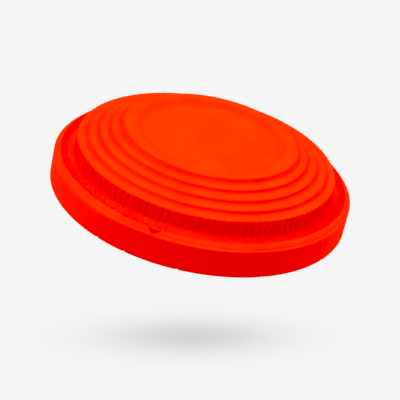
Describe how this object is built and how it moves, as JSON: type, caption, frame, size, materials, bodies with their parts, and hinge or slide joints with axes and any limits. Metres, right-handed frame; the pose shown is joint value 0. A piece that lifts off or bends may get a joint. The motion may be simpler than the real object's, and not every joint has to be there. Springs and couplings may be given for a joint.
{
  "type": "clay target",
  "caption": "Round domed target disc with a shallow dish on top, stepped rings, a fluted band, a channel with a raised rim and a hollow skirt that stands on a flat base ring.",
  "frame": {"origin": "centre of the flat underside of the base ring", "axes": "+Z is the axis of the disc, from the base ring up to the dish; the disc is round, so +X and +Y are any two level directions"},
  "size_m": [0.11, 0.11, 0.026],
  "materials": {
    "pressed_pitch_and_limestone": "matte, slightly grainy",
    "fluorescent_paint": "matte sprayed paint"
  },
  "bodies": {
    "root": {"moulded_body": "pressed_pitch_and_limestone", "paint_coat": "fluorescent_paint"}
  },
  "joints": []
}
